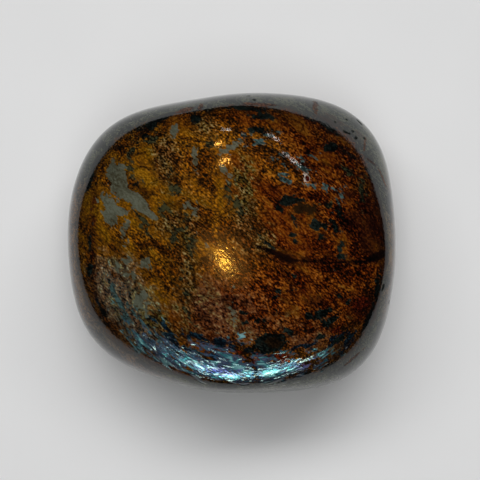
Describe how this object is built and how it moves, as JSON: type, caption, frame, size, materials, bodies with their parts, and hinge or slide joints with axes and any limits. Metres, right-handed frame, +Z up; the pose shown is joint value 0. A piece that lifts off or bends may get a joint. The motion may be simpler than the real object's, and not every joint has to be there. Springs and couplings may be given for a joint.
{
  "type": "tumbled bronzite",
  "caption": "Polished cushion-shaped tumbled stone of bronze-brown bronzite with dark and grey-green patches, resting on a small worn flat.",
  "frame": {"origin": "under the middle of the stone, on the surface that it rests on", "axes": "+Z up through the crown; +X along the stone's long side, to the right in the picture; +Y to the top of the picture"},
  "size_m": [0.0278, 0.0254, 0.0136],
  "materials": {
    "polished_bronzite": "polished"
  },
  "bodies": {
    "root": {"tumbled_bronzite": "polished_bronzite"}
  },
  "joints": []
}
